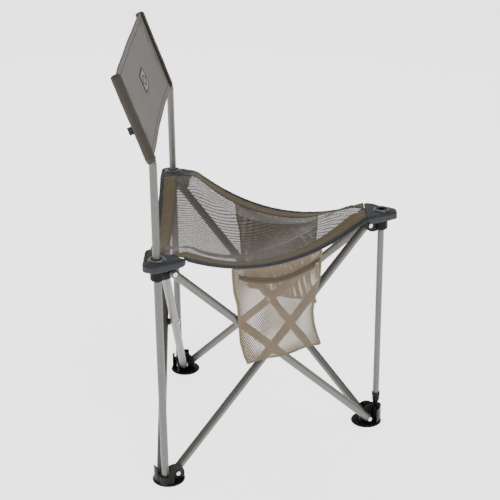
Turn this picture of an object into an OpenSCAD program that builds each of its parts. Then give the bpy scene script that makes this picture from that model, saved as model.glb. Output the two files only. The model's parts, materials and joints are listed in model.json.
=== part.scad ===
// Three-cornered folding camp chair with a leaning backrest.
// Three crossed pairs of legs fold together; the back posts stand in their feet and slide
// through the hubs, and the front post hangs from its hub and lifts out of its foot.
// The chair faces -Y, the near side is -X, +Z is up, and the feet stand on z = 0.

/* [Frame] */
// Distance between neighbouring post axes
side = 480; // [470:2:500]
// Height of the three eyelets above the floor
seat_h = 464.5; // [460:0.5:470]
// Height where the back posts start to bend
bend_h = 638; // [636:1:660]
// Lean of the backrest from upright
lean = 20; // [10:1:25]
// Length of the leaning part of a back post, along its axis
back_len = 165; // [140:1:200]

/* [Tubes] */
// Diameter of a leg tube
leg_d = 15.9; // [14:0.1:16]
// Diameter of a back post
back_post_d = 14.3; // [13:0.1:14.6]
// Diameter of the front post
front_post_d = 12.7; // [12:0.1:13]
// Wall of every tube
tube_wall = 1.2; // [1:0.1:2]

/* [Pivots] */
// Distance of every leg pivot from its post axis
pivot_off = 26; // [25:0.5:28]
// Height of the pivots in the hubs
hub_pivot_z = 434; // [432:0.5:435]
// Height of the pivots in the feet
foot_pivot_z = 17; // [16:0.5:20]
// Diameter of the rivets
rivet_d = 5; // [4:0.5:6]
// Thickness of the lugs that the legs are riveted to
lug_t = 4; // [3:0.5:4.5]

/* [Feet] */
// Radius of a foot's base flange
foot_r = 31; // [30:0.5:34]
// Height of a foot's lugs
foot_h = 38; // [36:1:40]

/* [Seat] */
// How far the seat's edge stands outside the line between two posts
edge_out = 24; // [22:1:26]
// How far the middle of each edge hangs below the corners
edge_sag = 42; // [30:1:50]
// How far the middle of the seat hangs below the corners
seat_sag = 88; // [70:1:95]
// Thickness of the seat fabric
cloth_t = 2; // [1.5:0.5:3]

/* [Hidden] */
$fn = 48;

// Corner numbers: near back, front, far back; side k runs from corner k to the next one.
NEAR = 0;
FRONT = 1;
FAR = 2;
plan_depth = side * sqrt(3) / 2;
fit_gap = 0.05;
slide_gap = 0.08;
cloth_gap = 0.3;

// Backrest
back_top_y = back_len * sin(lean);
sleeve_r = 9.5;
sleeve_cap = 3;
sleeve_low = 4;

// Corners, placed so that the box of the whole chair is centred on the origin
patch_r = 25;
back_reach = back_top_y + sleeve_cap * sin(lean) + sleeve_r * cos(lean);
back_y = (plan_depth + patch_r - back_reach) / 2;
corners = [[-side / 2, back_y], [0, back_y - plan_depth], [side / 2, back_y]];

// Legs: each lies beside its lugs, the outer ones outside the side's plane
leg_r = leg_d / 2;
leg_off = lug_t / 2 + 0.25 + leg_r;
leg_run = side - 2 * pivot_off;
leg_rise = hub_pivot_z - foot_pivot_z;
leg_len = sqrt(leg_run * leg_run + leg_rise * leg_rise);
leg_angle = atan2(leg_rise, leg_run);
rivet_r = rivet_d / 2;
head_r = 4.2;
head_t = 1.8;
spacer_r = 7;

// Hubs
plate_z = 450;
plate_t = 6;
patch_t = 4;
hub_collar_r = 10.4;
hub_boss_r = 13;
lug_arch_r = 24;
hub_lug_low = 420;

// Feet
flange_t = 4.5;
flange_x = 19;
flange_y = -5;
socket_r = 11.5;
wall_r = 28.2;
wall_h = 35;
post_seat_z = 6;
back_socket_h = 21;
front_socket_h = 35;
pin_r = 3.5;
tip_low = 43;
tip_high = 64;

// Seat fabric: edges run as strips of binding and hem around the mesh
binding_w = 9;
hem_w = 25;
mesh_in = binding_w + hem_w;
corner_cut = 37;
patch_reach = 30;
sling_z = plate_z + plate_t + patch_t;
flat_share = 0.12;
strip_steps = 18;
mesh_rings = 7;

// Pockets hang from the seat's edge outside the legs, on the near and the far side
pocket_off = 20.5;
pocket_t = 4;
pocket_left = 140;
pocket_right = 329;
pocket_low_z = 221;
zip_z = 379;
zip_rise = 17;
zip_mid = 244;
zip_half = 80;
pull_s = 318;

function corner(k) = corners[k % 3];
function along(k) = (corner(k + 1) - corner(k)) / side;
function outward(k) = [along(k)[1], -along(k)[0]];
function centre() = (corners[0] + corners[1] + corners[2]) / 3;

// Share of a corner in a plan point: 1 at the post, 0 on the side opposite it
function share(p, k) = ((p - corner(k + 1)) * (-outward(k + 1))) / plan_depth;
function soft_share(p, k) = max(0, (share(p, k) - flat_share) / (1 - 2 * flat_share));
function edge_part(p, k) = 4 * soft_share(p, k) * soft_share(p, k + 1);

// The hollow of the seat starts at the fabric's edge and leaves the hubs level
function edge_share(p, k) = (share(p, k) + edge_out / plan_depth) / (1 + 3 * edge_out / plan_depth);
function off_hub(p, k) = 1 - exp(-pow(max(0, norm(p - corner(k)) - 50) / 60, 2));
function hollow(p) =
    16.2 * edge_share(p, 0) * edge_share(p, 1) * edge_share(p, 2) * off_hub(p, 0) * off_hub(p, 1) * off_hub(p, 2)
    + 18 * soft_share(p, 0) * soft_share(p, 1) * soft_share(p, 2);
function drop(p) =
    edge_sag * (edge_part(p, 0) + edge_part(p, 1) + edge_part(p, 2)) + (seat_sag - edge_sag) * hollow(p);
function on_sling(p, lift) = [p[0], p[1], sling_z - drop(p) + lift];

// Where a strip at this inset is cut, so that its end is square to the corner's middle line
function cut_s(inset) = corner_cut + (edge_out - inset) * tan(30);
function strip_s(t, inset) = cut_s(inset) + (side - 2 * cut_s(inset)) * t;
function edge_point(k, s, inset) = corner(k) + along(k) * s + outward(k) * (edge_out - inset);

module at_corner(k) {
    translate([corner(k)[0], corner(k)[1], 0]) rotate([0, 0, 120 * k]) children();
}

// Local X runs along side k, local Y points into the chair
module along_side(k) {
    translate([corner(k)[0], corner(k)[1], 0]) rotate([0, 0, 120 * k - 60]) children();
}

module tube(r, length) {
    difference() {
        cylinder(r = r, h = length);
        translate([0, 0, -1]) cylinder(r = r - tube_wall, h = length + 2);
    }
}

// Round bar along local Y from y0 to y1
module cross_bar(r, y0, y1) {
    translate([0, y1, 0]) rotate([90, 0, 0]) cylinder(r = r, h = y1 - y0);
}

// ---- Legs ----

// A leg lies along local Z from its foot pivot; its ends are rounded
module leg_body(crossing_r) {
    difference() {
        union() {
            cylinder(r = leg_r, h = leg_len);
            sphere(r = leg_r);
            translate([0, 0, leg_len]) sphere(r = leg_r);
        }
        translate([0, 0, leg_r]) cylinder(r = leg_r - tube_wall, h = leg_len - 2 * leg_r);
        for (z = [0, leg_len]) translate([0, 0, z]) cross_bar(rivet_r + fit_gap, -leg_d, leg_d);
        translate([0, 0, leg_len / 2]) cross_bar(crossing_r, -leg_d, leg_d);
    }
}

module outer_leg(k) {
    color([0.51, 0.49, 0.46])
    along_side(k)
    translate([side - pivot_off, -leg_off, foot_pivot_z])
    rotate([0, leg_angle - 90, 0])
    leg_body(rivet_r);
}

module inner_leg(k) {
    color([0.51, 0.49, 0.46])
    along_side(k)
    translate([pivot_off, leg_off, foot_pivot_z])
    rotate([0, 90 - leg_angle, 0])
    leg_body(rivet_r + fit_gap);
}

module at_crossing(k) {
    along_side(k) translate([side / 2, 0, (hub_pivot_z + foot_pivot_z) / 2]) children();
}

module cross_pin(k) {
    reach = leg_off + leg_r + 0.1;
    color([0.75, 0.76, 0.77]) at_crossing(k) {
        cross_bar(rivet_r, -reach, reach);
        cross_bar(head_r, -reach - head_t, -reach);
        cross_bar(head_r, reach, reach + head_t);
    }
}

module cross_spacer(k) {
    color([0.12, 0.12, 0.12]) at_crossing(k) difference() {
        cross_bar(spacer_r, leg_r - leg_off + 0.1, leg_off - leg_r - 0.1);
        cross_bar(rivet_r, -leg_off, leg_off);
    }
}

// A rivet through a lug and a leg. The leg is outside the lug when out is true.
module leg_rivet(out) {
    reach = leg_off + leg_r + 0.1;
    face = lug_t / 2;
    if (out) {
        cross_bar(rivet_r, -reach, face);
        cross_bar(head_r, -reach - head_t, -reach);
    } else {
        cross_bar(rivet_r, -face, reach);
        cross_bar(head_r, -face - head_t, -face);
        cross_bar(head_r, reach, reach + head_t);
    }
}

module foot_rivets(k) {
    color([0.75, 0.76, 0.77]) {
        along_side(k) translate([pivot_off, 0, foot_pivot_z]) leg_rivet(false);
        along_side(k + 2) translate([side - pivot_off, 0, foot_pivot_z]) leg_rivet(true);
    }
}

module hub_rivets(k) {
    color([0.75, 0.76, 0.77]) {
        along_side(k) translate([pivot_off, 0, hub_pivot_z]) leg_rivet(true);
        along_side(k + 2) translate([side - pivot_off, 0, hub_pivot_z]) leg_rivet(false);
    }
}

// ---- Feet ----

// The two lugs of a foot or hub stand in the planes of its two sides
module lug_pair(low, high, arch_z) {
    for (turn = [-60, 0]) rotate([0, 0, turn]) intersection() {
        translate([pivot_off - 10, lug_t / 2, arch_z]) rotate([90, 0, 0]) cylinder(r = lug_arch_r, h = lug_t);
        translate([-20, -lug_t, low]) cube([90, 2 * lug_t, high - low]);
    }
}

module lug_bores(z) {
    for (turn = [-60, 0]) rotate([0, 0, turn]) translate([pivot_off, 0, z]) cross_bar(rivet_r, -lug_t, lug_t);
}

// Wall round the outer side of a foot, lower where the post stands
module foot_wall() {
    difference() {
        translate([flange_x, flange_y, 2]) cylinder(r = wall_r, h = wall_h - 2);
        translate([flange_x, flange_y, 1]) cylinder(r = wall_r - 3, h = wall_h);
        for (turn = [-60, 0]) rotate([0, 0, turn]) translate([12, -60, 0]) cube([80, 120, wall_h + 1]);
        rotate([0, 0, -30]) translate([-60, -10.5, back_socket_h]) cube([60, 21, wall_h]);
    }
}

module foot(k, bore_r, socket_h) {
    color([0.12, 0.12, 0.12]) at_corner(k) difference() {
        union() {
            translate([flange_x, flange_y, 0]) {
                cylinder(r1 = foot_r - 1.5, r2 = foot_r, h = 1.5);
                translate([0, 0, 1.5]) cylinder(r = foot_r, h = flange_t - 3);
                translate([0, 0, flange_t - 1.5]) cylinder(r1 = foot_r, r2 = foot_r - 1.5, h = 1.5);
            }
            lug_pair(2, foot_h, foot_h - lug_arch_r);
            foot_wall();
            translate([0, 0, 1]) cylinder(r = socket_r, h = socket_h - 1);
        }
        translate([0, 0, post_seat_z]) cylinder(r = bore_r, h = foot_h);
        lug_bores(foot_pivot_z);
    }
}

// ---- Hubs ----

module plate_outline() {
    circle(r = 17);
    translate([15, -7]) circle(r = 29);
}

module hub(k, bore_r) {
    color([0.12, 0.12, 0.12]) at_corner(k) difference() {
        union() {
            translate([0, 0, plate_z]) linear_extrude(plate_t) plate_outline();
            lug_pair(hub_lug_low, plate_z + 1, hub_lug_low + lug_arch_r);
            translate([0, 0, hub_lug_low + 5]) cylinder(r = hub_boss_r, h = plate_z - hub_lug_low - 4);
            translate([0, 0, hub_lug_low + 2]) cylinder(r1 = hub_boss_r - 3, r2 = hub_boss_r, h = 3);
            translate([0, 0, plate_z]) cylinder(r = hub_collar_r, h = seat_h - 1.5 - plate_z);
        }
        translate([0, 0, hub_lug_low - 1]) cylinder(r = bore_r, h = 60);
        lug_bores(hub_pivot_z);
    }
}

// ---- Posts ----

// Space below or above the plane where a back post's two stretches meet
module half_space(above) {
    translate([0, 0, bend_h]) rotate([-lean / 2, 0, 0]) translate([-300, -300, above ? 0 : -900]) cube([600, 600, 900]);
}

// The back post leans towards +Y above its mitred elbow
module back_post(k) {
    r = back_post_d / 2;
    color([0.51, 0.49, 0.46]) translate([corner(k)[0], corner(k)[1], 0]) {
        intersection() {
            translate([0, 0, post_seat_z]) tube(r, bend_h + 10 - post_seat_z);
            half_space(false);
        }
        intersection() {
            on_lean() translate([0, 0, -10]) tube(r, back_len + 10);
            half_space(true);
        }
    }
}

// From a back post's foot to the start of its leaning stretch
module on_lean() {
    translate([0, 0, bend_h]) rotate([-lean, 0, 0]) children();
}

module post_plug(k) {
    color([0.12, 0.12, 0.12]) translate([corner(k)[0], corner(k)[1], 0]) on_lean() {
        translate([0, 0, back_len - 12]) cylinder(r = back_post_d / 2 - tube_wall, h = 12);
        translate([0, 0, back_len]) cylinder(r1 = back_post_d / 2, r2 = back_post_d / 2 - 1, h = 1.5);
    }
}

module front_post() {
    color([0.51, 0.49, 0.46]) at_corner(FRONT) translate([0, 0, tip_high - 6]) tube(front_post_d / 2, 394);
}

// Stepped plastic tip with the metal pin that stands in the front foot
module front_post_tip() {
    core_r = front_post_d / 2 - tube_wall;
    color([0.12, 0.12, 0.12]) at_corner(FRONT) {
        translate([0, 0, post_seat_z]) cylinder(r = pin_r, h = tip_low - post_seat_z);
        translate([0, 0, tip_low]) cylinder(r1 = 5.4, r2 = 7.4, h = 5);
        translate([0, 0, tip_low + 5]) cylinder(r = 7.4, h = tip_high - 6 - tip_low - 5);
        translate([0, 0, tip_high - 6]) cylinder(r = core_r, h = 20);
        translate([0, 0, tip_high - 6]) difference() {
            cylinder(r = 8.3, h = 6);
            translate([0, 0, -1]) cylinder(r = front_post_d / 2, h = 8);
        }
    }
}

// ---- Seat ----

module eyelet(k) {
    inner_r = hub_collar_r;
    base_z = plate_z + plate_t + patch_t;
    color([0.6, 0.61, 0.62]) at_corner(k) translate([0, 0, base_z]) rotate_extrude() difference() {
        union() {
            translate([inner_r, 0]) square([5.8, 1.6]);
            translate([inner_r + 2.1, 2.4]) circle(r = 2.1);
        }
        translate([0, -3]) square([40, 3]);
        translate([0, -1]) square([inner_r, 8]);
    }
}

// Fabric over a hub, cut square where the mesh begins
module corner_patch(k) {
    base_z = plate_z + plate_t;
    color([0.2, 0.22, 0.24]) at_corner(k) translate([0, 0, base_z]) rotate([0, 0, -30])
    linear_extrude(patch_t) difference() {
        intersection() {
            union() {
                circle(r = patch_r);
                rotate([0, 0, 30]) translate([0, -80]) square([80, 80 + edge_out]);
                rotate([0, 0, -30]) translate([0, -edge_out]) square([80, 80 + edge_out]);
            }
            translate([-patch_r, -80]) square([patch_r + patch_reach, 160]);
            rotate([0, 0, 30]) translate([-80, -80]) square([160, 80 + edge_out]);
            rotate([0, 0, -30]) translate([-80, -edge_out]) square([160, 80 + edge_out]);
        }
        circle(r = hub_collar_r);
    }
}

// Closed strip along side k of the sling, between two insets from its edge
module sling_strip(k, in0, in1, low, high) {
    n = strip_steps;
    rows = [for (i = [0 : n])
        let (a = edge_point(k, strip_s(i / n, in0), in0), b = edge_point(k, strip_s(i / n, in1), in1))
        each [on_sling(a, low), on_sling(b, low), on_sling(b, high), on_sling(a, high)]];
    walls = [for (i = [0 : n - 1], j = [0 : 3]) [4 * i + j, 4 * i + 4 + j, 4 * i + 4 + (j + 1) % 4, 4 * i + (j + 1) % 4]];
    polyhedron(rows, concat([[0, 1, 2, 3]], walls, [[4 * n + 3, 4 * n + 2, 4 * n + 1, 4 * n]]), convexity = 4);
}

module edge_binding(k) {
    color([0.2, 0.22, 0.24]) sling_strip(k, 0, binding_w, -3, 1);
}

module seat_hem() {
    color([0.49, 0.44, 0.33])
    for (k = [0 : 2]) sling_strip(k, binding_w, mesh_in - 0.2, 1.5 - cloth_t, 0.4);
}

// The mesh is built as rings between its rim and its middle
module seat_mesh() {
    per_side = 12;
    rim = [for (k = [0 : 2], i = [0 : per_side])
        edge_point(k, strip_s(i / per_side, mesh_in), mesh_in)];
    count = len(rim);
    rings = [for (r = [1 : mesh_rings], p = rim) centre() + (p - centre()) * r / mesh_rings];
    top = [for (p = rings) on_sling(p, 0)];
    under = [for (p = rings) on_sling(p, -cloth_t)];
    shift = len(rings) + 1;
    points = concat([on_sling(centre(), 0)], top, [on_sling(centre(), -cloth_t)], under);
    fan = [for (i = [0 : count - 1]) each let (j = (i + 1) % count)
        [[0, 1 + j, 1 + i], [shift, shift + 1 + i, shift + 1 + j]]];
    bands = [for (r = [0 : mesh_rings - 2], i = [0 : count - 1]) each
        let (a = 1 + r * count + i, b = 1 + r * count + (i + 1) % count)
        [[a, b, b + count, a + count], [shift + a + count, shift + b + count, shift + b, shift + a]]];
    last = 1 + (mesh_rings - 1) * count;
    hems = [for (i = [0 : count - 1]) let (j = (i + 1) % count)
        [last + i, last + j, shift + last + j, shift + last + i]];
    color([0.46, 0.41, 0.36]) polyhedron(points, concat(fan, bands, hems), convexity = 6);
}

// ---- Backrest ----

module back_sleeve(k) {
    color([0.33, 0.29, 0.22]) translate([corner(k)[0], corner(k)[1], 0]) on_lean() difference() {
        translate([0, 0, sleeve_low]) cylinder(r = sleeve_r, h = back_len + sleeve_cap - sleeve_low);
        translate([0, 0, -1]) cylinder(r = back_post_d / 2, h = back_len + 2.5);
    }
}

module backrest_panel() {
    panel_t = 5;
    reach = side / 2 - sleeve_r - cloth_gap;
    color([0.42, 0.38, 0.33]) translate([0, back_y, 0]) on_lean() difference() {
        translate([-reach, -panel_t / 2, sleeve_low]) cube([2 * reach, panel_t, back_len - 1.5]);
        translate([0, 10, -540]) rotate([90, 0, 0]) cylinder(r = 550, h = 20, $fn = 160);
    }
}

module backrest_badge() {
    color([0.1, 0.1, 0.1]) translate([0, back_y, 0]) on_lean() translate([0, -2.5 - 0.9, 88])
    translate([-32, 0, -19]) cube([64, 0.9, 38]);
}

module sleeve_tag() {
    color([0.1, 0.1, 0.1]) translate([corner(NEAR)[0], corner(NEAR)[1], 0]) on_lean()
    translate([-4, sleeve_r, 62]) cube([2, 7, 14]);
}

// ---- Pockets ----

// Height of the underside of the seat's edge, and of the curved zipper, along a side
function rim_z(s) = on_sling(edge_point(0, s, 3.5), 0)[2] - 5;
function zip_line(s) = zip_z + zip_rise * pow((s - zip_mid) / zip_half, 2);

// Outline of a pocket in the plane of its side, in from the left end of the side
module pocket_outline() {
    steps = 10;
    top = [for (i = [0 : steps]) let (s = pocket_left + (pocket_right - pocket_left) * i / steps) [s, rim_z(s)]];
    right = [[324, 362], [315, 330], [311, 300], [318, 250], [pocket_right, pocket_low_z]];
    left = [[170, pocket_low_z], [157, 262], [153, 300], [152, 340], [143, 378]];
    polygon(concat(top, right, left));
}

module zipper_outline() {
    steps = 12;
    along = [for (i = [0 : steps]) 152 + 174 * i / steps];
    upper = [for (s = along) [s, zip_line(s) + 4]];
    lower = [for (i = [steps : -1 : 0]) [along[i], zip_line(along[i]) - 4]];
    polygon(concat(upper, lower));
}

module in_side_plane(k, flip) {
    along_side(k) translate([flip ? side : 0, -pocket_off, 0]) mirror([flip ? 1 : 0, 0, 0]) children();
}

module pocket(k, flip) {
    color([0.59, 0.51, 0.41]) in_side_plane(k, flip) rotate([90, 0, 0]) linear_extrude(pocket_t) pocket_outline();
}

module pocket_zipper(k, flip) {
    color([0.45, 0.4, 0.32]) in_side_plane(k, flip)
    translate([0, -pocket_t, 0]) rotate([90, 0, 0]) linear_extrude(1.4) zipper_outline();
}

module zipper_pull(k, flip) {
    color([0.59, 0.51, 0.35]) in_side_plane(k, flip) translate([pull_s, -pocket_t - 1.6, zip_line(pull_s) + 4]) {
        translate([-4, -1.8, -8]) cube([8, 1.8, 8]);
        translate([-2, -1.6, -30]) cube([4, 1.2, 24]);
    }
}

foot(NEAR, back_post_d / 2, back_socket_h);  // near_foot
foot(FRONT, pin_r + fit_gap, front_socket_h);  // front_foot
foot(FAR, back_post_d / 2, back_socket_h);  // far_foot
back_post(NEAR);  // near_back_post
back_post(FAR);  // far_back_post
front_post();
front_post_tip();
post_plug(NEAR);  // near_post_plug
post_plug(FAR);  // far_post_plug
hub(NEAR, back_post_d / 2 + slide_gap);  // near_hub
hub(FRONT, front_post_d / 2);  // front_hub
hub(FAR, back_post_d / 2 + slide_gap);  // far_hub
outer_leg(0);  // near_outer_leg
inner_leg(0);  // near_inner_leg
outer_leg(1);  // far_outer_leg
inner_leg(1);  // far_inner_leg
outer_leg(2);  // back_outer_leg
inner_leg(2);  // back_inner_leg
cross_pin(0);  // near_cross_pin
cross_pin(1);  // far_cross_pin
cross_pin(2);  // back_cross_pin
cross_spacer(0);  // near_cross_spacer
cross_spacer(1);  // far_cross_spacer
cross_spacer(2);  // back_cross_spacer
foot_rivets(NEAR);  // near_foot_rivets
foot_rivets(FRONT);  // front_foot_rivets
foot_rivets(FAR);  // far_foot_rivets
hub_rivets(NEAR);  // near_hub_rivets
hub_rivets(FRONT);  // front_hub_rivets
hub_rivets(FAR);  // far_hub_rivets
eyelet(NEAR);  // near_eyelet
eyelet(FRONT);  // front_eyelet
eyelet(FAR);  // far_eyelet
corner_patch(NEAR);  // near_corner_patch
corner_patch(FRONT);  // front_corner_patch
corner_patch(FAR);  // far_corner_patch
seat_mesh();
seat_hem();
edge_binding(0);  // near_edge_binding
edge_binding(1);  // far_edge_binding
edge_binding(2);  // back_edge_binding
backrest_panel();
back_sleeve(NEAR);  // near_back_sleeve
back_sleeve(FAR);  // far_back_sleeve
backrest_badge();
sleeve_tag();
pocket(0, false);  // near_pocket
pocket_zipper(0, false);  // near_pocket_zipper
zipper_pull(0, false);  // near_zipper_pull
pocket(1, true);  // far_pocket
pocket_zipper(1, true);  // far_pocket_zipper
zipper_pull(1, true);  // far_zipper_pull
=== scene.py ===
"""Looks of the folding three-cornered camp chair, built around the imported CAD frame."""

import json
import math

import bpy
import numpy as np
from mathutils import Matrix, Vector


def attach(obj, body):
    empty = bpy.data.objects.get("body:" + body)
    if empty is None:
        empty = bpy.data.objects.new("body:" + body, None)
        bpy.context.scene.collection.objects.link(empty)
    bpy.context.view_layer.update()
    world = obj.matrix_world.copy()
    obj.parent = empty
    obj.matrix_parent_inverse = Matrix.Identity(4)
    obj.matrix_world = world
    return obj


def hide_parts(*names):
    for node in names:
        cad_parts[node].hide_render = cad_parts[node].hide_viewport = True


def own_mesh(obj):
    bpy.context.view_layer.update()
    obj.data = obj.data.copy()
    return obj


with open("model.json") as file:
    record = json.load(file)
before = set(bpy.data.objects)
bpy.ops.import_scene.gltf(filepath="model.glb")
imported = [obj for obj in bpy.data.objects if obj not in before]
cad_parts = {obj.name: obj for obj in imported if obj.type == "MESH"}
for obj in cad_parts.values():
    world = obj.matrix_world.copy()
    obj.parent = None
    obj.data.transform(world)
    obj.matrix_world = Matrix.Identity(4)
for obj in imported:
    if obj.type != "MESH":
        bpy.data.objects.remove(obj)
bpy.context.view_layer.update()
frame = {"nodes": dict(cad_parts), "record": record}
nodes = frame["nodes"]

# ---- the chair's own sizes, in millimetres, as in the CAD ----
SIDE = 480.0
DEPTH = SIDE * math.sqrt(3) / 2
BACK_Y = 187.153
CORNERS = np.array([[-SIDE / 2, BACK_Y], [0.0, BACK_Y - DEPTH], [SIDE / 2, BACK_Y]])
MIDDLE = CORNERS.mean(0)
SLING_Z = 460.0
EDGE_OUT = 24.0
CUT = 37.0
BEND_Z, LEAN, BACK_LEN = 638.0, math.radians(20), 165.0
NET_INSET = 31.0
HEM_IN, HEM_OUT = 33.8, 5.5
CAP_Z = 460.2
PULL_S = 318.0


def along(k):
    return (CORNERS[(k + 1) % 3] - CORNERS[k % 3]) / SIDE


def outward(k):
    d = along(k)
    return np.array([d[1], -d[0]])


def soft_share(p, k):
    share = (p - CORNERS[(k + 1) % 3]) @ -outward(k + 1) / DEPTH
    return np.maximum(0, (share - 0.12) / 0.76)


def hollow(p):
    """Share of the seat's extra depth that starts at its edge and leaves the hubs level."""
    level = 16.2
    for k in range(3):
        share = (p - CORNERS[(k + 1) % 3]) @ -outward(k + 1) / DEPTH
        from_post = np.linalg.norm(p - CORNERS[k], axis=-1)
        off_hub = 1 - np.exp(-((np.maximum(0, from_post - 50) / 60) ** 2))
        level = level * (share + EDGE_OUT / DEPTH) / (1 + 3 * EDGE_OUT / DEPTH) * off_hub
    return level


def drop(p):
    """How far the sling hangs below its corners at a plan point."""
    a, b, c = (soft_share(p, k) for k in range(3))
    return 168 * (a * b + b * c + c * a) + 46 * (18 * a * b * c + hollow(p))


def side_point(k, s, inset):
    s, inset = np.broadcast_arrays(np.asarray(s, float), np.asarray(inset, float))
    return CORNERS[k] + along(k) * s[..., None] + outward(k) * (EDGE_OUT - inset)[..., None]


def strip_s(t, inset):
    cut = CUT + (EDGE_OUT - inset) * math.tan(math.radians(30))
    return cut + (SIDE - 2 * cut) * t


def tension(p):
    """Shallow folds that fan out from the three corners of the sling."""
    z = np.zeros(p.shape[:-1])
    for k in range(3):
        d = p - CORNERS[k]
        far = np.linalg.norm(d, axis=-1)
        inward = MIDDLE - CORNERS[k]
        turn = np.arctan2(d[..., 0] * inward[1] - d[..., 1] * inward[0], d @ inward)
        fade = np.exp(-((far - 95) / 62) ** 2)
        z += fade * (1.5 * np.sin(17 * turn + k) + 0.6 * np.sin(41 * turn + 2 * k))
    return z


def lift(p, z):
    return np.concatenate([p, np.asarray(z)[..., None]], -1)


# ---- mesh helpers ----
def new_mesh(name, points, faces, uv=None):
    """A mesh object from points in millimetres; uv is one pair per point, in metres."""
    mesh = bpy.data.meshes.new(name)
    mesh.from_pydata((np.asarray(points, float) / 1000).tolist(), [], faces)
    mesh.validate()
    if uv is not None:
        layer = mesh.uv_layers.new(name="cloth")
        index = np.zeros(len(mesh.loops), int)
        mesh.loops.foreach_get("vertex_index", index)
        layer.data.foreach_set("uv", np.asarray(uv, float)[index].ravel())
    mesh.polygons.foreach_set("use_smooth", [True] * len(mesh.polygons))
    mesh.update()
    obj = bpy.data.objects.new(name, mesh)
    bpy.context.scene.collection.objects.link(obj)
    return obj


def grid_faces(rows, cols, closed=False, flip=False):
    faces = []
    for i in range(rows - 1):
        for j in range(cols if closed else cols - 1):
            a, b = i * cols + j, i * cols + (j + 1) % cols
            face = [a, b, b + cols, a + cols]
            faces.append(face[::-1] if flip else face)
    return faces


def grid(name, points, uv=None, closed=False, flip=False, caps=False):
    rows, cols = points.shape[:2]
    faces = grid_faces(rows, cols, closed, flip)
    if caps:
        ends = [list(range(cols))[::-1], list(range((rows - 1) * cols, rows * cols))]
        faces += [e[::-1] for e in ends] if flip else ends
    flat_uv = None if uv is None else np.asarray(uv).reshape(-1, 2)
    return new_mesh(name, points.reshape(-1, 3), faces, flat_uv)


def merge(parts, name):
    """One object from several (points, faces, uv) lists."""
    points, faces, uvs, base = [], [], [], 0
    for p, f, uv in parts:
        p = np.asarray(p, float).reshape(-1, 3)
        points.append(p)
        faces += [[base + i for i in face] for face in f]
        uvs.append(np.zeros((len(p), 2)) if uv is None else np.asarray(uv).reshape(-1, 2))
        base += len(p)
    return new_mesh(name, np.concatenate(points), faces, np.concatenate(uvs))


def outward_facing(obj):
    import bmesh

    work = bmesh.new()
    work.from_mesh(obj.data)
    bmesh.ops.recalc_face_normals(work, faces=work.faces)
    work.to_mesh(obj.data)
    work.free()
    return obj


def apply_modifiers(obj):
    graph = bpy.context.evaluated_depsgraph_get()
    obj.data = bpy.data.meshes.new_from_object(obj.evaluated_get(graph))
    obj.modifiers.clear()
    obj.data.polygons.foreach_set("use_smooth", [True] * len(obj.data.polygons))
    return obj


def thicken(obj, mm, offset=0.0):
    solid = obj.modifiers.new("thick", "SOLIDIFY")
    solid.thickness = mm / 1000
    solid.offset = offset
    return apply_modifiers(obj)


def sweep(path, section, ups, closed=False):
    """Rings of a section carried along a path; ups gives the section's second axis at each point."""
    path, ups = np.asarray(path, float), np.asarray(ups, float)
    if closed:
        ahead = np.roll(path, -1, 0) - np.roll(path, 1, 0)
    else:
        ahead = np.gradient(path, axis=0)
    ahead /= np.linalg.norm(ahead, axis=1)[:, None]
    across = np.cross(ahead, ups)
    across /= np.linalg.norm(across, axis=1)[:, None]
    up = np.cross(across, ahead)
    section = np.asarray(section, float)
    if section.ndim == 2:
        section = np.repeat(section[None], len(path), 0)
    return path[:, None] + section[..., 0:1] * across[:, None] + section[..., 1:2] * up[:, None]


def tube_part(path, radius, ups, sides=8, closed=False, flat=1.0):
    turn = np.linspace(0, 2 * math.pi, sides, endpoint=False)
    section = np.stack([radius * np.cos(turn), radius * flat * np.sin(turn)], 1)
    rings = sweep(path, section, ups, closed)
    rows = len(rings)
    faces = grid_faces(rows, sides, True)
    if closed:
        last = (rows - 1) * sides
        faces += [[last + j, last + (j + 1) % sides, (j + 1) % sides, j] for j in range(sides)]
    else:
        faces += [list(range(sides))[::-1], list(range((rows - 1) * sides, rows * sides))]
    arc = np.concatenate([[0], np.cumsum(np.linalg.norm(np.diff(np.asarray(path, float), axis=0), axis=1))])
    uv = np.stack(np.broadcast_arrays(arc[:, None] / 1000, (turn * radius / 1000)[None]), -1)
    return rings, faces, uv


def stitches(name, path, ups, radius=0.55, length=4.2, gap=2.2):
    """A row of short raised threads along a path."""
    path, ups = np.asarray(path, float), np.asarray(ups, float)
    arc = np.concatenate([[0], np.cumsum(np.linalg.norm(np.diff(path, axis=0), axis=1))])
    parts, start = [], gap
    while start + length < arc[-1]:
        t = start + np.linspace(0, length, 4)
        p = np.stack([np.interp(t, arc, path[:, i]) for i in range(3)], 1)
        u = np.stack([np.interp(t, arc, ups[:, i]) for i in range(3)], 1)
        p = p + u / np.linalg.norm(u, axis=1)[:, None] * (np.array([-0.1, 0.28, 0.28, -0.1]))[:, None]
        parts.append(tube_part(p, radius, u, 6, flat=0.7))
        start += length + gap
    return outward_facing(merge(parts, name))


def paint(obj, material):
    obj.data.materials.clear()
    obj.data.materials.append(material)
    return obj


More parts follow.
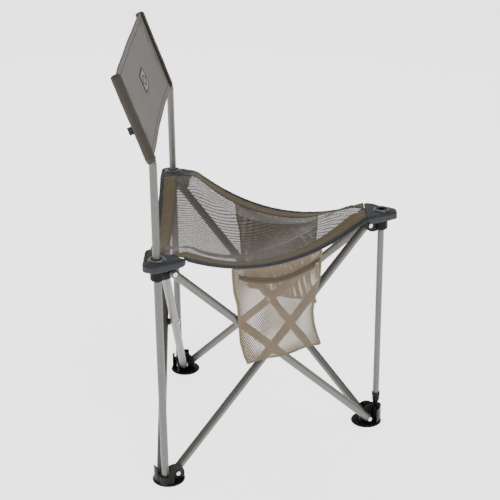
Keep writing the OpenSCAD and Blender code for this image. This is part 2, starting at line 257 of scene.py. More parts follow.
# ---- materials ----
class Nodes:
    def __init__(self, name, rough=0.6, colour=(0.5, 0.5, 0.5)):
        self.material = bpy.data.materials.new(name)
        self.material.use_nodes = True
        self.tree = self.material.node_tree
        self.shader = next(n for n in self.tree.nodes if n.type == "BSDF_PRINCIPLED")
        self.output = next(n for n in self.tree.nodes if n.type == "OUTPUT_MATERIAL")
        self.shader.inputs["Roughness"].default_value = rough
        self.shader.inputs["Base Color"].default_value = (*colour, 1)
        self.material.diffuse_color = (*colour, 1)

    def add(self, kind, **values):
        node = self.tree.nodes.new(kind)
        for key, value in values.items():
            setattr(node, key, value)
        return node

    def link(self, a, b):
        self.tree.links.new(a, b)

    def math(self, operation, a, b=None, clamp=False):
        node = self.add("ShaderNodeMath", operation=operation, use_clamp=clamp)
        for socket, value in zip(node.inputs, (a, b)):
            if value is None:
                continue
            if isinstance(value, (int, float)):
                socket.default_value = value
            else:
                self.link(value, socket)
        return node.outputs[0]

    def space(self, use_uv=True):
        return self.add("ShaderNodeTexCoord").outputs["UV" if use_uv else "Object"]

    def noise(self, space, scale, detail=3.0, rough=0.55):
        node = self.add("ShaderNodeTexNoise")
        node.inputs["Scale"].default_value = scale
        node.inputs["Detail"].default_value = detail
        node.inputs["Roughness"].default_value = rough
        self.link(space, node.inputs["Vector"])
        return node.outputs[0]

    def wave(self, space, scale, direction="X", distort=0.0):
        node = self.add("ShaderNodeTexWave", bands_direction=direction)
        node.inputs["Scale"].default_value = scale
        node.inputs["Distortion"].default_value = distort
        self.link(space, node.inputs["Vector"])
        return node.outputs["Fac"]

    def turned(self, space, degrees):
        node = self.add("ShaderNodeMapping")
        node.inputs["Rotation"].default_value = (0, 0, math.radians(degrees))
        self.link(space, node.inputs["Vector"])
        return node.outputs[0]

    def ramp(self, value, stops):
        node = self.add("ShaderNodeValToRGB")
        items = node.color_ramp.elements
        while len(items) < len(stops):
            items.new(0.5)
        for item, (place, colour) in zip(items, stops):
            item.position = place
            item.color = (*colour, 1)
        self.link(value, node.inputs[0])
        return node.outputs[0]

    def mix(self, factor, a, b, blend="MIX"):
        node = self.add("ShaderNodeMix", data_type="RGBA", blend_type=blend)
        for socket, value in ((node.inputs[0], factor), (node.inputs[6], a), (node.inputs[7], b)):
            if isinstance(value, (int, float)):
                socket.default_value = value
            elif isinstance(value, tuple):
                socket.default_value = (*value, 1)
            else:
                self.link(value, socket)
        return node.outputs[2]

    def colour(self, value):
        self.link(value, self.shader.inputs["Base Color"])

    def rough(self, value, low, high):
        node = self.add("ShaderNodeMapRange")
        node.inputs["To Min"].default_value = low
        node.inputs["To Max"].default_value = high
        self.link(value, node.inputs[0])
        self.link(node.outputs[0], self.shader.inputs["Roughness"])

    def bump(self, height, strength, distance):
        node = self.add("ShaderNodeBump")
        node.inputs["Strength"].default_value = strength
        node.inputs["Distance"].default_value = distance
        self.link(height, node.inputs["Height"])
        self.link(node.outputs[0], self.shader.inputs["Normal"])

    def see_through(self, cover):
        """cover is 1 where the cloth is and 0 in its holes."""
        clear = self.add("ShaderNodeBsdfTransparent")
        mix = self.add("ShaderNodeMixShader")
        self.link(cover, mix.inputs[0])
        self.link(clear.outputs[0], mix.inputs[1])
        self.link(self.shader.outputs[0], mix.inputs[2])
        self.link(mix.outputs[0], self.output.inputs["Surface"])


def shade(colour, factor):
    return tuple(min(1.0, c * factor) for c in colour)


def worn(n, space):
    """1 on worn outer edges, broken up by noise."""
    geometry = n.add("ShaderNodeNewGeometry")
    edge = n.add("ShaderNodeMapRange")
    edge.inputs["From Min"].default_value = 0.53
    edge.inputs["From Max"].default_value = 0.62
    n.link(geometry.outputs["Pointiness"], edge.inputs[0])
    return n.math("MULTIPLY", edge.outputs[0], n.noise(space, 160, 4))


def painted_tube():
    base = (0.078, 0.074, 0.066)
    n = Nodes("tube_paint", 0.42, base)
    space = n.space(False)
    cloud = n.noise(space, 9, 4)
    colour = n.ramp(cloud, [(0.3, shade(base, 0.9)), (0.7, shade(base, 1.08))])
    colour = n.mix(worn(n, space), colour, (0.13, 0.124, 0.114))
    n.colour(colour)
    speckle = n.noise(space, 900, 2)
    n.rough(n.noise(space, 60, 3), 0.36, 0.52)
    n.bump(speckle, 0.06, 0.0002)
    n.shader.inputs["Metallic"].default_value = 0.25
    n.shader.inputs["Coat Weight"].default_value = 0.12
    n.shader.inputs["Coat Roughness"].default_value = 0.3
    return n.material


def moulded_plastic():
    base = (0.0052, 0.0052, 0.0054)
    n = Nodes("black_plastic", 0.45, base)
    space = n.space(False)
    grain = n.noise(space, 1300, 2)
    dust = n.noise(space, 24, 5)
    colour = n.ramp(dust, [(0.35, base), (0.75, (0.009, 0.009, 0.009))])
    colour = n.mix(worn(n, space), colour, (0.025, 0.025, 0.025))
    n.colour(colour)
    n.rough(dust, 0.36, 0.58)
    n.bump(grain, 0.22, 0.0003)
    n.shader.inputs["Specular IOR Level"].default_value = 0.1
    return n.material


def steel(name, base, low, high):
    n = Nodes(name, 0.3, base)
    space = n.space(False)
    scratch = n.noise(space, 420, 4, 0.7)
    n.colour(n.ramp(n.noise(space, 70, 3), [(0.3, shade(base, 0.8)), (0.7, base)]))
    n.rough(scratch, low, high)
    n.bump(scratch, 0.1, 0.0002)
    n.shader.inputs["Metallic"].default_value = 1.0
    return n.material


def woven(name, base, pitch=0.0011, twill=False, use_uv=True, sheen=0.25, fold=0.9, variety=0.16, bump=0.4):
    """Woven polyester: warp and weft threads or a twill line, with broad colour variation."""
    n = Nodes(name, 0.85, base)
    space = n.space(use_uv)
    scale = 0.314 / pitch
    lines = n.turned(space, 45) if twill else space
    warp = n.wave(lines, scale, "X")
    weft = n.wave(lines, scale * (0.4 if twill else 1.0), "Y")
    weave = n.math("MULTIPLY", n.math("ADD", warp, weft), 0.5)
    cloud = n.noise(space, 14, 5)
    fibre = n.noise(space, 700, 3)
    tone = n.ramp(cloud, [(0.25, shade(base, 1 - variety)), (0.75, shade(base, 1 + variety))])
    dark = n.mix(weave, tuple(shade((1, 1, 1), 0.74)), (1.0, 1.0, 1.0))
    tone = n.mix(1.0, tone, dark, "MULTIPLY")
    tone = n.mix(n.math("MULTIPLY", fibre, 0.3), tone, shade(base, 1.5))
    n.colour(tone)
    n.rough(cloud, 0.74, 0.92)
    n.bump(n.math("ADD", weave, n.math("MULTIPLY", fibre, 0.4)), bump, 0.0004 * fold)
    n.shader.inputs["Sheen Weight"].default_value = sheen
    n.shader.inputs["Sheen Roughness"].default_value = 0.5
    return n.material


def seat_net():
    """Ribbed sling mesh: dense threads with small gaps that let the light through."""
    base = (0.056, 0.045, 0.032)
    n = Nodes("seat_mesh", 0.8, base)
    space = n.space()
    ribs = n.wave(n.turned(space, 8), 46, "X", 0.6)
    fine = n.wave(space, 210, "Y")
    cross = n.wave(space, 240, "X")
    cloud = n.noise(space, 9, 4)
    tone = n.ramp(cloud, [(0.3, shade(base, 0.84)), (0.72, shade(base, 1.16))])
    tone = n.mix(n.math("MULTIPLY", ribs, 0.5), tone, shade(base, 1.75))
    n.colour(tone)
    n.rough(cloud, 0.66, 0.84)
    n.bump(n.math("ADD", n.math("MULTIPLY", ribs, 0.7), fine), 0.5, 0.0005)
    gaps = n.math("MULTIPLY", n.math("GREATER_THAN", fine, 0.55), n.math("GREATER_THAN", cross, 0.5))
    streak = n.math("ADD", 0.2, n.math("MULTIPLY", ribs, 0.45))
    n.see_through(n.math("SUBTRACT", 1.0, n.math("MULTIPLY", gaps, streak)))
    n.shader.inputs["Sheen Weight"].default_value = 0.2
    return n.material


def pocket_net():
    """Open net: staggered holes between tan threads."""
    base = (0.17, 0.122, 0.076)
    n = Nodes("pocket_mesh", 0.8, base)
    space = n.space()
    a = n.wave(n.turned(space, 32), 92, "X")
    b = n.wave(n.turned(space, -32), 92, "X")
    cloud = n.noise(space, 22, 3)
    hole = n.math("MULTIPLY", n.math("GREATER_THAN", a, 0.36), n.math("GREATER_THAN", b, 0.36))
    thread = n.math("ADD", a, b)
    tone = n.ramp(cloud, [(0.3, shade(base, 0.85)), (0.7, shade(base, 1.2))])
    n.colour(n.mix(n.math("MULTIPLY", thread, 0.35), tone, shade(base, 0.6)))
    n.rough(cloud, 0.7, 0.86)
    n.bump(thread, 0.5, 0.0006)
    n.see_through(n.math("SUBTRACT", 1.0, hole))
    n.shader.inputs["Sheen Weight"].default_value = 0.15
    return n.material


def badge_face():
    base = (0.13, 0.13, 0.135)
    n = Nodes("badge_face", 0.7, base)
    space = n.space()
    thread = n.wave(space, 160, "X")
    cloud = n.noise(space, 120, 4)
    blend = n.math("MULTIPLY", n.math("ADD", thread, cloud), 0.5)
    n.colour(n.ramp(blend, [(0.3, (0.05, 0.05, 0.053)), (0.75, (0.26, 0.26, 0.27))]))
    n.rough(cloud, 0.55, 0.8)
    n.bump(thread, 0.4, 0.0003)
    return n.material


TUBE, PLASTIC = painted_tube(), moulded_plastic()
RIVET = steel("rivet_steel", (0.6, 0.6, 0.59), 0.24, 0.45)
RING = steel("eyelet_metal", (0.17, 0.17, 0.168), 0.34, 0.55)
BINDING = woven("dark_binding", (0.015, 0.018, 0.021), 0.0013, sheen=0.1)
HEM = woven("tan_hem", (0.1, 0.077, 0.038), 0.0012, sheen=0.1)
BACK = woven("back_fabric", (0.046, 0.038, 0.027), 0.0012, variety=0.1, sheen=0.12)
SLEEVE = woven("sleeve_fabric", (0.027, 0.021, 0.0125), 0.0026, twill=True, bump=0.7, sheen=0.1)
NET, POCKET = seat_net(), pocket_net()
TAPE = woven("pocket_tape", (0.13, 0.1, 0.06), 0.001, sheen=0.1)
ZIP = woven("zipper_tape", (0.065, 0.05, 0.03), 0.0009, sheen=0.1)
PULL = woven("pull_tape", (0.17, 0.13, 0.065), 0.0009, sheen=0.1)
BLACK_TAPE = woven("badge_edge", (0.006, 0.006, 0.0065), 0.0008, sheen=0.05)
THREAD_DARK = woven("thread_dark", (0.01, 0.011, 0.012), 0.0006, sheen=0.1)
THREAD_TAN = woven("thread_tan", (0.1, 0.078, 0.042), 0.0006, sheen=0.1)
BADGE = badge_face()

LOOKS = {
    "tube_paint": TUBE, "black_plastic": PLASTIC, "rivet_steel": RIVET, "eyelet_metal": RING,
    "dark_binding": BINDING, "tan_hem": HEM, "seat_mesh": NET, "back_fabric": BACK,
    "sleeve_fabric": SLEEVE, "badge": BLACK_TAPE, "pocket_mesh": POCKET, "zipper_tan": ZIP,
}
for part in frame["record"]["subparts"]:
    paint(nodes[part["node"]], LOOKS[part["material_slot"]])


# ---- how the cloth follows the fold ----
HUB_OF_SIDE = {0: ("near_hub", 0), 1: ("far_hub", 2), 2: ("near_hub", 0)}


def gather(obj, k, body=None):
    """Rides a hub of side k."""
    hub, corner = HUB_OF_SIDE[k]
    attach(obj, body or hub)
    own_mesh(obj)
    return obj


def on_back(obj):
    """Rides the near post."""
    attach(obj, "root")
    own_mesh(obj)
    return obj


# ---- seat: three gores of sling mesh that meet in the middle ----
def net_surface(p):
    return SLING_Z - 0.9 - drop(p) + tension(p)


def seat_gore(k):
    cols, rows = 73, 44
    t = np.linspace(0, 1, cols)
    rim = side_point(k, strip_s(t, NET_INSET), NET_INSET)
    before = side_point((k + 2) % 3, strip_s(1.0, NET_INSET), NET_INSET)
    after = side_point((k + 1) % 3, strip_s(0.0, NET_INSET), NET_INSET)
    rim = np.concatenate([[(rim[0] + before) / 2], rim, [(rim[-1] + after) / 2]])
    v = np.linspace(0, 1, rows)[:, None, None] ** 0.85
    flat = rim[None] * (1 - v) + MIDDLE * v
    flat[-1] = MIDDLE
    points = lift(flat, net_surface(flat))
    obj = grid(f"seat_gore_{k}", points, uv=flat / 1000)
    weld = obj.modifiers.new("weld", "WELD")
    weld.merge_threshold = 1e-5
    apply_modifiers(obj)
    co = np.array([v.co[:2] for v in obj.data.vertices]) * 1000
    slope = [(net_surface(co + d) - net_surface(co - d)) / 2 for d in (np.array([1.0, 0]), np.array([0, 1.0]))]
    normals = np.stack([-slope[0], -slope[1], np.ones(len(co))], 1)
    normals /= np.linalg.norm(normals, axis=1)[:, None]
    obj.data.normals_split_custom_set_from_vertices(normals.tolist())
    paint(obj, NET)
    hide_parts("seat_mesh")
    gather(obj, k)


# ---- seat: tan hem, folded dark binding and their stitching ----
def hem(k):
    t = np.linspace(0, 1, 90)
    rows = []
    for a in np.linspace(0, 1, 15):
        inset = HEM_OUT + (HEM_IN - HEM_OUT) * a
        puff = 0.55 * (1 - abs(2 * a - 1) ** 5) + 0.22 * np.sin(60 * t + 3 * a) * math.sin(math.pi * a)
        p = side_point(k, np.array([strip_s(u, inset) for u in t]), inset)
        rows.append(lift(p, SLING_Z - drop(p) + puff + 0.7 * tension(p) * a))
    points = np.array(rows)
    uv = np.stack(np.broadcast_arrays(t[None] * 0.43, np.linspace(0, 0.028, 15)[:, None]), -1)
    obj = thicken(grid(f"seat_hem_{k}", points, uv=uv), 1.1, 0.0)
    paint(obj, HEM)
    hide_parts("seat_hem")
    gather(obj, k)
    for row, inset in enumerate((12.0, 30.5)):
        p = side_point(k, strip_s(t, inset), inset)
        a = (inset - 5.5) / 28.3
        p = lift(p, SLING_Z - drop(p) + 1.05 + 0.7 * tension(p) * a)
        rowed = stitches(f"hem_stitch_{k}_{row}", p, np.tile([0, 0, 1.0], (len(p), 1)), 0.5)
        gather(paint(rowed, THREAD_TAN), k)


BINDING_NODE = ("near_edge_binding", "far_edge_binding", "back_edge_binding")


def binding(k):
    section = [(9.4, 1.0), (7, 1.35), (4, 1.45), (1.6, 1.1), (0.2, -0.2), (0.0, -1.4),
               (0.5, -2.5), (2, -3.0), (5, -3.0), (8, -2.7), (9.2, -1.6), (9.0, -0.4)]
    t = np.linspace(0, 1, 140)
    loops = []
    for i, u in enumerate(t):
        ring = []
        for inset, rise in section:
            p = side_point(k, strip_s(u, inset), inset)
            pucker = 0.16 * math.sin(i * 1.9) + 0.12 * math.sin(i * 0.73 + 1)
            ring.append(lift(p, SLING_Z - drop(p) + rise * (1 + 0.25 * pucker) + pucker))
        loops.append(ring)
    points = np.array(loops)
    uv = np.stack(np.broadcast_arrays(t[:, None] * 0.42, np.linspace(0, 0.026, len(section))[None]), -1)
    obj = outward_facing(grid(f"edge_binding_{k}", points, uv=uv, closed=True, caps=True))
    paint(obj, BINDING)
    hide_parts(BINDING_NODE[k])
    gather(obj, k)
    p = side_point(k, strip_s(t, 7.6), 7.6)
    line = lift(p, SLING_Z - drop(p) + 1.5)
    seam = stitches(f"binding_stitch_{k}", line, np.tile([0, 0, 1.0], (len(p), 1)), 0.5)
    gather(paint(seam, THREAD_DARK), k)


# ---- corner caps of folded dark fabric, drawn down over the hub plates ----
HUBS = ("near_hub", "front_hub", "far_hub")
PATCHES = ("near_corner_patch", "front_corner_patch", "far_corner_patch")
BACK_REACH = 29.5


def corner_cap(k):
    turns = 128
    phi = np.linspace(-math.pi, math.pi, turns, endpoint=False)
    reach = np.full(turns, BACK_REACH)
    for turn, limit in ((120, EDGE_OUT), (-120, EDGE_OUT), (0, 30.0)):
        facing = np.cos(phi - math.radians(turn))
        bound = np.where(facing > 1e-3, limit / np.maximum(facing, 1e-3), 1e9)
        nearer = np.minimum(reach, bound)
        first = np.where(reach == BACK_REACH, bound, nearer)
        reach = np.where(np.abs(phi) < math.radians(121), first, nearer)
    kernel = np.array([1, 2, 3, 2, 1]) / 9
    wide = np.concatenate([reach[-2:], reach, reach[:2]])
    reach = np.convolve(wide, kernel, "valid")
    front = 1 / (1 + np.exp((np.abs(np.degrees(phi)) - 52) / 4))
    rows = []
    depth = 12.5 * (1 - front) + 1.2 * front
    for t in np.linspace(0, 1, 14):
        r = 10.7 + (reach - 3.0 - 10.7) * t
        wave = 0.5 * t * np.sin(5 * phi + k) + 0.35 * t * np.sin(11 * phi + 2 * k)
        z = CAP_Z - 0.9 * t ** 2 * (1 - front) + wave * (1 - front)
        rows.append((r, z))
    for t in np.linspace(0.2, 1, 9):
        bend = min(1.0, t * 2.2)
        r = reach - 3.0 + 3.0 * math.sin(bend * math.pi / 2) + 0.5 * np.sin(9 * phi + k) * t * (1 - front)
        fall = 3.0 * (1 - math.cos(bend * math.pi / 2)) + max(0, t - 0.45) / 0.55 * np.maximum(depth - 3.0, 0)
        z = CAP_Z - 0.9 * (1 - front) - fall * (1 - front) - 0.9 * front * t
        rows.append((r, z + 0.6 * np.sin(4 * phi + 1 + k) * (1 - front) * max(0, t - 0.6)))
    base = math.radians(120 * k - 30)
    c = CORNERS[k]
    x_part, y_part = np.cos(phi + base), np.sin(phi + base)
    points = np.array([np.stack([c[0] + r * x_part, c[1] + r * y_part, z], 1) for r, z in rows])
    uv = (points[..., :2] - c) / 1000
    obj = thicken(grid(f"corner_cap_{k}", points, uv=uv, closed=True), 1.3, -0.2)
    paint(obj, BINDING)
    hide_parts(PATCHES[k])
    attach(obj, HUBS[k])
    edge = np.array([points[13][i] for i in range(turns) if front[i] < 0.5 and abs(phi[i]) < 2.6])
    sides = [edge[: len(edge) // 2], edge[len(edge) // 2:]]
    for n, line in enumerate(sides):
        inner = line.copy()
        inner[:, :2] = c + (inner[:, :2] - c) * 0.93
        inner[:, 2] += 1.2
        seam = stitches(f"cap_stitch_{k}_{n}", inner, np.tile([0, 0, 1.0], (len(inner), 1)), 0.45, 3.4, 1.8)
        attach(paint(seam, THREAD_DARK), HUBS[k])


# ---- backrest ----
E_LEAN = np.array([0, math.sin(LEAN), math.cos(LEAN)])
FACE = np.array([0, -math.cos(LEAN), math.sin(LEAN)])


def on_lean(x, w, out=0.0):
    """Point x across the chair, w up the leaning posts and out from their line towards the sitter."""
    x, w, out = np.broadcast_arrays(np.asarray(x, float), np.asarray(w, float), np.asarray(out, float))
    start = np.array([0, BACK_Y, BEND_Z])
    p = start + w[..., None] * E_LEAN + out[..., None] * FACE
    p[..., 0] = x
    return p


def panel_low(x):
    return 1.5 + 3.0 * (1 - (x / 231.4) ** 2)


def panel_out(x, h):
    """The stretched cloth bows a little and carries shallow pulls towards its four corners."""
    across = x / 231.0
    bow = 1.6 - 3.0 * (1 - across ** 2)
    pulls = 0.0
    for cx, ch in ((-1, 0), (1, 0), (-1, 1), (1, 1)):
        dx, dh = (across - cx) * 1.4, (h - ch) * 0.5
        far = np.sqrt(dx ** 2 + dh ** 2)
        pulls = pulls + np.exp(-((far - 0.22) / 0.16) ** 2) * np.sin(11 * np.arctan2(dh, dx) + cx) * 0.8
    return bow + pulls + 0.35 * np.sin(9 * across + 5 * h)


def backrest():
    cols, rows = 116, 44
    x = np.linspace(-231.4, 231.4, cols)
    low, high = panel_low(x), 166.5
    h = np.linspace(0, 1, rows)[:, None]
    w = low[None] * (1 - h) + high * h
    points = on_lean(np.tile(x, (rows, 1)), w, panel_out(x[None], h))
    uv = np.stack([np.tile(x, (rows, 1)) / 1000, w / 1000], -1)
    obj = thicken(grid("backrest_cloth", points, uv=uv), 1.8, 0.0)
    paint(obj, BACK)
    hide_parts("backrest_panel")
    on_back(obj)
    edges = (("back_top_hem", np.full(cols, high - 1.2), 1.0, 2.3), ("back_low_hem", low + 1.6, 0.0, 1.9))
    for name, level, hh, radius in edges:
        line = on_lean(x, level, panel_out(x, hh))
        part = tube_part(line, radius, np.tile(FACE, (cols, 1)), 10, flat=0.8)
        piece = outward_facing(merge([part], name))
        on_back(paint(piece, BACK))
    for n, level in enumerate((np.full(cols, 155.0), low + 12.0)):
        share = (level - low) / (high - low)
        line = on_lean(x, level, panel_out(x, share) + 1.05)
        seam = stitches(f"back_stitch_{n}", line, np.tile(FACE, (cols, 1)), 0.45)
        on_back(paint(seam, THREAD_TAN))


def sleeve(name, corner, body, replaced):
    """Fabric tube over a post, closed over its top and gathered at its bottom, with a corded seam."""
    cx = CORNERS[corner][0]
    inner = 1 if corner == 0 else -1
    turns, levels = 56, 62
    theta = np.linspace(0, 2 * math.pi, turns, endpoint=False)
    w = np.linspace(4.2, 163.5, levels)
    loops = []
    for level in w:
        low = (level - 4.2) / 9
        r = np.full(turns, 9.25) + 0.18 * np.sin(3 * theta + level / 17)
        r = r + 0.12 * np.sin(level / 5.1 + 2 * theta)
        if low < 1:
            r = r - 1.4 * (1 - low) ** 1.6 + 0.45 * (1 - low) * np.sin(13 * theta)
        r = r + 0.55 * math.exp(-((level - 13) / 1.6) ** 2)
        loops.append((r, level))
    for t in np.linspace(0.15, 1, 8):
        r = np.maximum(9.3 * np.cos(t * math.pi / 2 * 0.97), 0.4) + 0.3 * (1 - t) * np.sin(9 * theta)
        loops.append((r, 163.5 + 4.4 * math.sin(t * math.pi / 2)))
    loops.insert(0, (np.full(turns, 7.5), 4.6))
    points = np.array([on_lean(cx + r * np.cos(theta), level, r * np.sin(theta)) for r, level in loops])
    arc = np.array([level for _, level in loops]) / 1000
    uv = np.stack(np.broadcast_arrays(arc[:, None], (theta * 9.3 / 1000)[None]), -1)
    obj = outward_facing(grid(name, points, uv=uv, closed=True))
    obj = thicken(obj, 0.7, -1.0)
    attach(paint(obj, SLEEVE), body)
    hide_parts(replaced)
    level = np.linspace(6, 164, 60)
    cord_line = on_lean(np.full(60, cx + inner * 7.6), level, 7.0 + 0.12 * np.sin(level / 4))
    piping = outward_facing(merge([tube_part(cord_line, 1.35, np.tile(FACE, (60, 1)), 10)], name + "_piping"))
    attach(paint(piping, BACK), body)
    cuff = on_lean(cx + 9.0 * np.cos(theta), 10.4, 9.0 * np.sin(theta))
    seam = stitches(name + "_cuff_stitch", cuff, (cuff - on_lean(cx, 10.4, 0.0)), 0.4, 3.0, 1.8)
    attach(paint(seam, THREAD_TAN), body)


def badge():
    """Plain woven patch: a grey field inside a raised black border, with no lettering."""
    half_w, half_h, w0 = 32.0, 19.0, 88.0
    turns = 96
    phi = np.linspace(0, 2 * math.pi, turns, endpoint=False)

    def rounded(scale_x, scale_y):
        c, s = np.cos(phi), np.sin(phi)
        x = np.sign(c) * np.minimum(np.abs(c) ** 0.28, 1) * scale_x
        y = np.sign(s) * np.minimum(np.abs(s) ** 0.28, 1) * scale_y
        return x, y

    def level(x, y, rise):
        share = (w0 + y - 4) / 162.5
        return on_lean(x, w0 + y, panel_out(x, share) + rise)

    rings = []
    for inset, rise in ((0.0, 0.9), (0.2, 1.7), (1.0, 2.2), (2.2, 2.2), (3.0, 1.7), (3.3, 1.2)):
        x, y = rounded(half_w - inset, half_h - inset)
        rings.append(level(x, y, rise))
    uv = np.stack(np.broadcast_arrays(np.linspace(0, 0.006, 6)[:, None], (phi * 0.018)[None]), -1)
    border = grid("badge_border", np.array(rings), uv=uv, closed=True)
    on_back(paint(outward_facing(border), BLACK_TAPE))
    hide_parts("backrest_badge")
    shares = np.linspace(1, 0.02, 12)
    field, uvs = [], []
    for share in shares:
        x, y = rounded((half_w - 3.1) * share, (half_h - 3.1) * share)
        field.append(level(x, y, 1.45))
        uvs.append(np.stack([x, y], 1) / 1000)
    face = grid("badge_field", np.array(field), uv=np.array(uvs), closed=True)
    on_back(paint(outward_facing(face), BADGE))
    diamond = []
    for scale in (1.0, 0.8):
        x = np.array([0, 11, 22, 11, 0, -11, -22, -11, 0]) * scale
        y = np.array([11, 5.5, 0, -5.5, -11, -5.5, 0, 5.5, 11]) * scale
        line = level(x[:-1], y[:-1], 1.6)
        diamond.append(tube_part(line, 0.7, np.tile(FACE, (8, 1)), 6, closed=True, flat=0.6))
    on_back(paint(outward_facing(merge(diamond, "badge_pattern")), BLACK_TAPE))


def tag():
    """A folded loop of dark tape sewn into the near sleeve's back seam."""
    cx = CORNERS[0][0]
    out = np.array([-8.6, -12, -15, -16.2, -15.6, -12, -8.6])
    side = np.array([-1.1, -1.3, -1.2, 0, 1.2, 1.3, 1.1])
    w = np.linspace(62, 76, 7)
    points = np.array([on_lean(cx - 3 + side * 0.8, level + 0.3 * np.sin(out), out) for level in w])
    uv = np.stack(np.broadcast_arrays(w[:, None] / 1000, np.linspace(0, 0.018, 7)[None]), -1)
    obj = thicken(grid("sleeve_tag_loop", points, uv=uv), 0.6)
    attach(paint(obj, BLACK_TAPE), "root")
    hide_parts("sleeve_tag")


# ---- pockets ----
LEFT = ((140, 425), (141, 401), (143, 378), (150, 349), (152, 318), (155, 271), (163, 240), (170, 221))
RIGHT = ((329, 412), (327, 387), (326, 366), (321, 350), (314, 322), (311, 299), (314, 270), (320, 248),
         (329, 221))


def rim_z(s):
    p = side_point(0, s, 3.5)
    return SLING_Z - drop(p) - 3.6


def zip_z(s):
    return 379 + 17 * ((s - 244) / 80) ** 2


def edge_s(outline, z):
    s, height = np.array(outline, float).T
    order = np.argsort(height)
    return np.interp(z, height[order], s[order])


def pocket_point(k, s, off, z):
    """s from the hub that the pocket rides on, off from the side's line and z up."""
    s, off, z = np.broadcast_arrays(np.asarray(s, float), np.asarray(off, float), np.asarray(z, float))
    if k == 1:
        s = SIDE - s
    p = CORNERS[k] + along(k) * s[..., None] + outward(k) * off[..., None]
    return lift(p, z)


def pocket_shape(u, v):
    """s and z over the pocket's outline, u from left to right and v from bottom to top."""
    z = 221 + (424 - 221) * v
    s = edge_s(LEFT, z) * (1 - u) + edge_s(RIGHT, z) * u
    z = 221 + (rim_z(s) - 221) * v + 2.5 * np.sin(3 * math.pi * u) * (1 - v) ** 2
    return s, z


def bulge(u, v):
    full = np.sin(math.pi * np.clip(u, 0, 1)) ** 0.7 * np.sin(math.pi * np.clip(v * 1.06, 0, 1)) ** 0.8
    ripple = 0.7 * np.sin(7 * u + 5 * v) * np.sin(math.pi * u)
    ripple = ripple + 0.5 * np.sin(15 * u - 9 * v) * np.sin(math.pi * v)
    return 5.2 * full + ripple * np.sin(math.pi * u) ** 0.5


def pocket(k, name):
    cols, rows = 70, 72
    u, v = np.meshgrid(np.linspace(0, 1, cols), np.linspace(0, 1, rows))
    s, z = pocket_shape(u, v)
    uv = np.stack([s, z], -1) / 1000
    normal = np.array([*outward(k), 0.0])
    front = grid(f"{name}_front", pocket_point(k, s, 22.2 + bulge(u, v), z), uv=uv, flip=(k == 1))
    back = grid(f"{name}_back", pocket_point(k, s, 20.9 + 0 * u, z), uv=uv + 0.0013, flip=(k == 0))
    for sheet_obj in (front, back):
        gather(paint(sheet_obj, POCKET), k)
        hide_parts(name)
    parts = []
    t = np.linspace(0, 1, 60)
    for uu, vv in ((0 * t, t), (1 + 0 * t, t), (t, 0 * t), (t, 1 + 0 * t)):
        es, ez = pocket_shape(uu, vv)
        line = pocket_point(k, es, 21.9 + 0.15 * np.sin(40 * t), ez)
        wide = 3.0 if vv[0] != vv[-1] else 1.9
        turn = np.linspace(0, 2 * math.pi, 10, endpoint=False)
        section = np.stack([wide * np.cos(turn), 0.95 * np.sin(turn)], 1)
        rings = sweep(line, section, np.tile(normal, (60, 1)))
        faces = grid_faces(60, 10, True) + [list(range(10))[::-1], list(range(590, 600))]
        tape_uv = np.stack(np.broadcast_arrays(t[:, None] * 0.2, np.linspace(0, 0.012, 10)[None]), -1)
        parts.append((rings, faces, tape_uv))
    gather(paint(outward_facing(merge(parts, f"{name}_tape")), TAPE), k)


def zipper(k, name):
    """Two rows of tape on either side of a coil of teeth, along the zipper's sagging line."""
    normal = np.array([*outward(k), 0.0])
    body = name.replace("_pocket_zipper", "_zipper_tape")
    s = np.linspace(152, 326, 90)
    u = (s - 145) / 185
    out = 22.9 + bulge(u, 0.83)
    tape = []
    for drop_by in (-5.0, -2.2, 0.0, 2.2, 5.0):
        tape.append(pocket_point(k, s, out - 0.1 * abs(drop_by), zip_z(s) + drop_by))
    uv = np.stack(np.broadcast_arrays(s[None] / 1000, np.linspace(0, 0.01, 5)[:, None]), -1)
    strip = thicken(grid(f"{name}_tape", np.array(tape), uv=uv, flip=(k == 1)), 0.8)
    parts = []
    for at in np.arange(154, 324, 2.1):
        o = 23.6 + np.interp(at, s, bulge(u, 0.83))
        line = pocket_point(k, [at, at + 0.3, at + 0.9], o, zip_z(at) + np.array([-1.7, 0.0, 1.7]))
        parts.append(tube_part(line, 0.62, np.tile(normal, (3, 1)), 6))
    teeth = outward_facing(merge(parts, f"{name}_teeth"))
    lines = []
    for drop_by in (-3.9, 3.9):
        line = pocket_point(k, s, out + 0.45, zip_z(s) + drop_by)
        lines.append(tube_part(line, 0.5, np.tile(normal, (90, 1)), 6))
    ridge = outward_facing(merge(lines, f"{name}_ridge"))
    for obj, look in ((strip, ZIP), (teeth, THREAD_TAN), (ridge, TAPE)):
        paint(obj, look)
        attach(obj, body)
        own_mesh(obj)
    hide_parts(name)


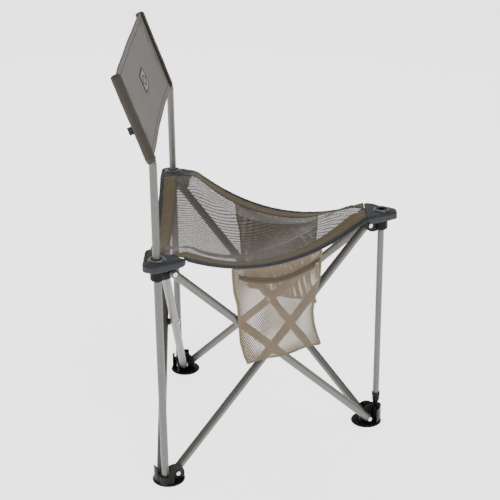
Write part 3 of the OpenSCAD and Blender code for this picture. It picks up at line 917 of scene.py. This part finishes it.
def pull(k, name):
    """Slider, and a doubled tape tab that hangs from it."""
    normal = np.array([*outward(k), 0.0])
    out = 24.9 + float(bulge(np.array((PULL_S - 145) / 185), 0.83))
    top = zip_z(PULL_S)
    turns = 24
    phi = np.linspace(0, 2 * math.pi, turns, endpoint=False)
    rings = []
    for depth, grow in ((0.0, 0.82), (0.5, 1.0), (1.9, 1.0), (2.5, 0.8), (2.6, 0.3), (2.6, 0.02)):
        c, s = np.cos(phi), np.sin(phi)
        x = np.sign(c) * np.abs(c) ** 0.6 * 4.0 * grow
        z = np.sign(s) * np.abs(s) ** 0.6 * 4.4 * grow
        rings.append(pocket_point(k, PULL_S + x, out + depth - 1.6, top + z))
    body = outward_facing(grid(f"{name}_slider", np.array(rings), closed=True, caps=True))
    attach(paint(body, RING), name)
    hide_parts(name)
    z = np.linspace(top - 1, top - 30, 26)
    sway = 0.6 * np.sin((top - z) / 7.0)
    wide = 2.3 + 0.5 * np.exp(-((z - (top - 28)) / 3.0) ** 2)
    rings = []
    for i, level in enumerate(z):
        c, s = np.cos(phi), np.sin(phi)
        x = np.sign(c) * np.abs(c) ** 0.7 * wide[i]
        d = np.sign(s) * np.abs(s) ** 0.7 * 1.0
        off = out + 0.9 + d + 0.3 * math.sin(i / 4)
        rings.append(pocket_point(k, PULL_S + sway[i] + x, off, np.full(turns, level)))
    uv = np.stack(np.broadcast_arrays(z[:, None] / 1000, (phi * 0.002)[None]), -1)
    tab = outward_facing(grid(f"{name}_tab", np.array(rings), uv=uv, closed=True, caps=True))
    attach(paint(tab, PULL), name)


for k in range(3):
    hem(k)
    seat_gore(k)
    binding(k)
    corner_cap(k)
sleeve("sleeve_near", 0, "root", "near_back_sleeve")
sleeve("sleeve_far", 2, "far_foot", "far_back_sleeve")
backrest()
badge()
tag()
pocket(0, "near_pocket")
pocket(1, "far_pocket")
zipper(0, "near_pocket_zipper")
zipper(1, "far_pocket_zipper")
pull(0, "near_zipper_pull")
pull(1, "far_zipper_pull")


# ---- stage, light and camera ----
FLOOR_EDGE = 40000


def floor():
    n = Nodes("floor", 0.9, (0.86, 0.86, 0.86))
    space = n.space(False)
    n.colour(n.ramp(n.noise(space, 3, 2), [(0.3, (0.895, 0.895, 0.895)), (0.7, (0.91, 0.91, 0.91))]))
    n.shader.inputs["Emission Color"].default_value = (1, 1, 1, 1)
    n.shader.inputs["Emission Strength"].default_value = 2.2
    e = FLOOR_EDGE
    obj = new_mesh("floor", [(-e, -e, 0), (e, -e, 0), (e, e, 0), (-e, e, 0)], [[0, 1, 2, 3]])
    paint(obj, n.material)


def lamp(name, place, size, power):
    light = bpy.data.lights.new(name, "AREA")
    light.shape = "DISK"
    light.size = size
    light.energy = power
    obj = bpy.data.objects.new(name, light)
    obj.location = place
    obj.rotation_euler = (Vector((0, 0, 0.4)) - Vector(place)).to_track_quat("-Z", "Y").to_euler()
    bpy.context.scene.collection.objects.link(obj)


floor()
lamp("key", (-2.4, -1.6, 3.2), 2.2, 58)
lamp("fill", (-2.0, 2.6, 1.8), 2.4, 22)
lamp("back", (2.4, 0.6, 2.6), 2.4, 34)
world = bpy.data.worlds.new("studio")
world.use_nodes = True
world.node_tree.nodes["Background"].inputs[0].default_value = (1, 1, 1, 1)
world.node_tree.nodes["Background"].inputs[1].default_value = 0.5
bpy.context.scene.world = world

yaw, pitch, roll = math.radians(0.53), math.radians(22.60), math.radians(-0.6)
view = Vector((math.cos(yaw) * math.cos(pitch), math.sin(yaw) * math.cos(pitch), -math.sin(pitch)))
right = view.cross(Vector((0, 0, 1))).normalized()
up = right.cross(view)
right, up = right * math.cos(roll) + up * math.sin(roll), up * math.cos(roll) - right * math.sin(roll)
camera = bpy.data.objects.new("camera", bpy.data.cameras.new("camera"))
camera.data.lens = 94.13
camera.data.clip_end = 100
pose = Matrix((right, up, -view)).transposed().to_4x4()
pose.translation = Vector((-2.3534, 0.0034, 1.3587))
camera.matrix_world = pose
bpy.context.scene.collection.objects.link(camera)
bpy.context.scene.camera = camera

bpy.context.view_layer.update()
